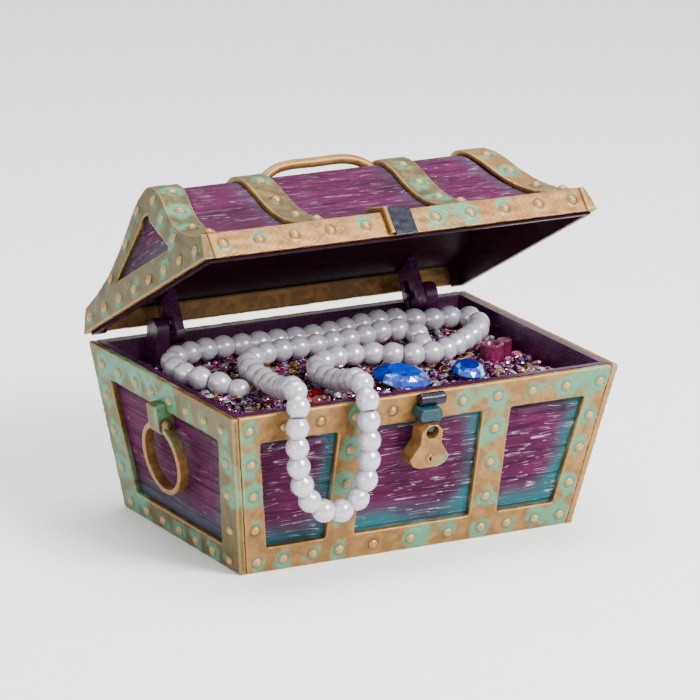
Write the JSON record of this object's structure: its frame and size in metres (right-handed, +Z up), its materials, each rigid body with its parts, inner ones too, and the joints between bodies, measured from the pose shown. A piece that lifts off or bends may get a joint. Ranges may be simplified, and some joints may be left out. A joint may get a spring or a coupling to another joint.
{
  "type": "aquarium treasure chest bubbler",
  "caption": "Aquarium treasure chest ornament with a hinged lid that rises on air bubbles, banded planks, gems and a draped pearl strand.",
  "frame": {"origin": "centre of the flat underside of the chest", "axes": "+X along the chest to the viewer's right, -Y is the front, +Z up"},
  "size_m": [0.1536, 0.1126, 0.1174],
  "materials": {
    "weathered_gold": "metallic gold paint with verdigris",
    "plum_plank": "plum plastic, moulded as planks and dry-brushed",
    "wine_resin": "gloss",
    "ballast_stone": "rough",
    "air_tube": "gloss",
    "navy_enamel": "gloss, chipped",
    "teal_enamel": "gloss",
    "blue_gem": "faceted",
    "red_gem": "faceted",
    "magenta_gem": "faceted",
    "violet_gem": "faceted",
    "gold_gem": "faceted",
    "clear_gem": "faceted",
    "thread": "cord",
    "pearl": "pearl sheen"
  },
  "bodies": {
    "chest": {"front_frame": "weathered_gold", "rear_frame": "weathered_gold", "left_frame": "weathered_gold", "right_frame": "weathered_gold", "inner_tub": "plum_plank", "bottom_plate": "wine_resin", "ballast_weight": "ballast_stone", "gem_tray": "wine_resin", "air_nozzle": "plum_plank", "air_pipe": "air_tube", "air_inlet": "air_tube", "tray_boss": "plum_plank", "left_hinge_post": "plum_plank", "left_hinge_pin": "plum_plank", "left_ring_lug": "weathered_gold", "right_hinge_post": "plum_plank", "right_hinge_pin": "plum_plank", "right_ring_lug": "weathered_gold", "catch_barrel": "navy_enamel", "padlock_staple": "teal_enamel", "blue_oval_gem": "blue_gem", "blue_round_gem": "blue_gem", "red_gem": "red_gem", "magenta_rhinestones": "magenta_gem", "violet_rhinestones": "violet_gem", "gold_rhinestones": "gold_gem", "clear_rhinestones": "clear_gem", "pearl_thread": "thread", "pearl_beads": "pearl"},
    "lid": {"lid_shell": "plum_plank", "lid_left_frame": "weathered_gold", "lid_right_frame": "weathered_gold", "lid_front_band": "weathered_gold", "lid_rear_band": "weathered_gold", "lid_left_strap": "weathered_gold", "lid_right_strap": "weathered_gold", "lid_hasp": "navy_enamel", "hasp_edge": "weathered_gold", "top_handle": "weathered_gold", "left_hinge_arm": "plum_plank", "right_hinge_arm": "plum_plank"},
    "padlock_body": {"padlock": "weathered_gold"},
    "left_ring_body": {"left_ring": "weathered_gold"},
    "right_ring_body": {"right_ring": "weathered_gold"}
  },
  "joints": [
    {"name": "lid_hinge", "type": "hinge", "parent": "chest", "child": "lid", "pos_m": [0, 0.0508, 0.0558], "axis": [-1, 0, 0], "range_deg": [-24, 15]},
    {"name": "padlock_swing", "type": "hinge", "parent": "chest", "child": "padlock_body", "pos_m": [-0.0018, -0.05073, 0.04645], "axis": [0, -0.9866, -0.1633], "range_deg": [-14, 14]},
    {"name": "left_ring_swing", "type": "hinge", "parent": "chest", "child": "left_ring_body", "pos_m": [-0.07282, 0, 0.04249], "axis": [0, 1, 0], "range_deg": [0, 80]},
    {"name": "right_ring_swing", "type": "hinge", "parent": "chest", "child": "right_ring_body", "pos_m": [0.07282, 0, 0.04249], "axis": [0, -1, 0], "range_deg": [0, 80]}
  ]
}
